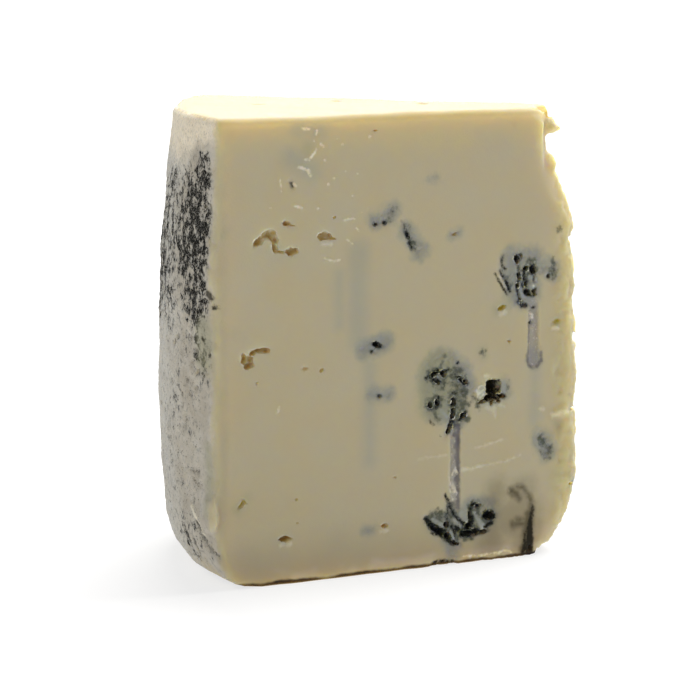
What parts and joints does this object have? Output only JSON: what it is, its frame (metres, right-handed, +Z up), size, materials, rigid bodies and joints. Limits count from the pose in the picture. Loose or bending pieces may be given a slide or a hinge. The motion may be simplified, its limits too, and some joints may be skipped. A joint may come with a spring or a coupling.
{
  "type": "blue cheese wedge",
  "caption": "Tall wedge of blue cheese cut from a drum: flat cut faces with mould pockets and needle channels, a bellied rind side, a broken tip and a flat rind base.",
  "frame": {"origin": "centre of the bounding box's bottom, on the surface that the wedge stands on", "axes": "+Z up; the front cut face looks along -Y; the rind side is at -X and the broken thin end at +X"},
  "size_m": [0.0936, 0.0694, 0.1007],
  "materials": {
    "cheese": "moist, slightly waxy cream paste with blue mould; grey natural rind"
  },
  "bodies": {
    "root": {"cheese": "cheese"}
  },
  "joints": []
}
